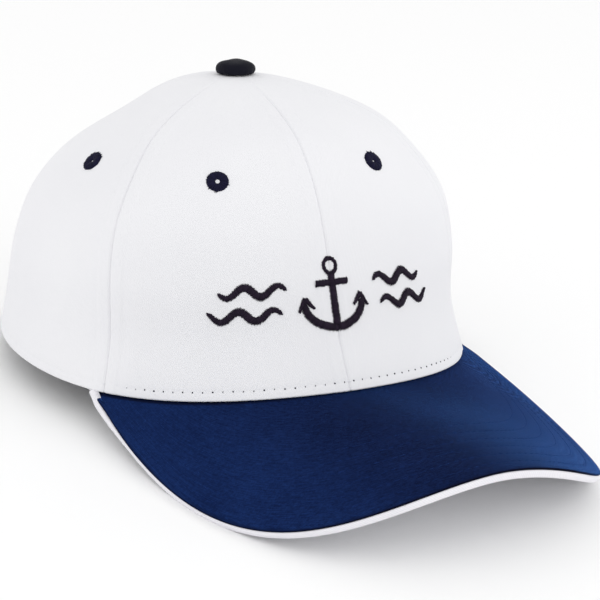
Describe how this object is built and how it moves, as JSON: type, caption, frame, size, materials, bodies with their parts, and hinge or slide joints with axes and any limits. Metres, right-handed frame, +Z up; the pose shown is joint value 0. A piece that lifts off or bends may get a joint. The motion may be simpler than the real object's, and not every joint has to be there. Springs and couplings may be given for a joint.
{
  "type": "skipper cap",
  "caption": "Skipper cap with a white panelled cloth crown, covered top button, sewn eyelets, inner sweatband and a curved navy peak with white edging.",
  "frame": {"origin": "on the floor, at the middle of the standing cap's length and width", "axes": "+Z up, the peak points to -Y, the wearer's right is -X"},
  "size_m": [0.1874, 0.2812, 0.1247],
  "materials": {
    "white_cotton": "matt cotton twill",
    "white_edging": "matt folded cotton edging",
    "navy_cotton": "matt brushed cotton twill",
    "navy_thread": "satin stitched thread",
    "navy_cover": "matt cotton over a metal shell"
  },
  "bodies": {
    "root": {"panel_front_right": "white_cotton", "panel_front_left": "white_cotton", "panel_side_right": "white_cotton", "panel_side_left": "white_cotton", "panel_back_right": "white_cotton", "panel_back_left": "white_cotton", "top_button": "navy_cover", "eyelet_front_right": "navy_thread", "eyelet_front_left": "navy_thread", "eyelet_side_right": "navy_thread", "eyelet_side_left": "navy_thread", "eyelet_back_right": "navy_thread", "eyelet_back_left": "navy_thread", "sweatband": "white_cotton", "peak_top": "navy_cotton", "peak_under": "white_cotton", "peak_edging": "white_edging"}
  },
  "joints": []
}
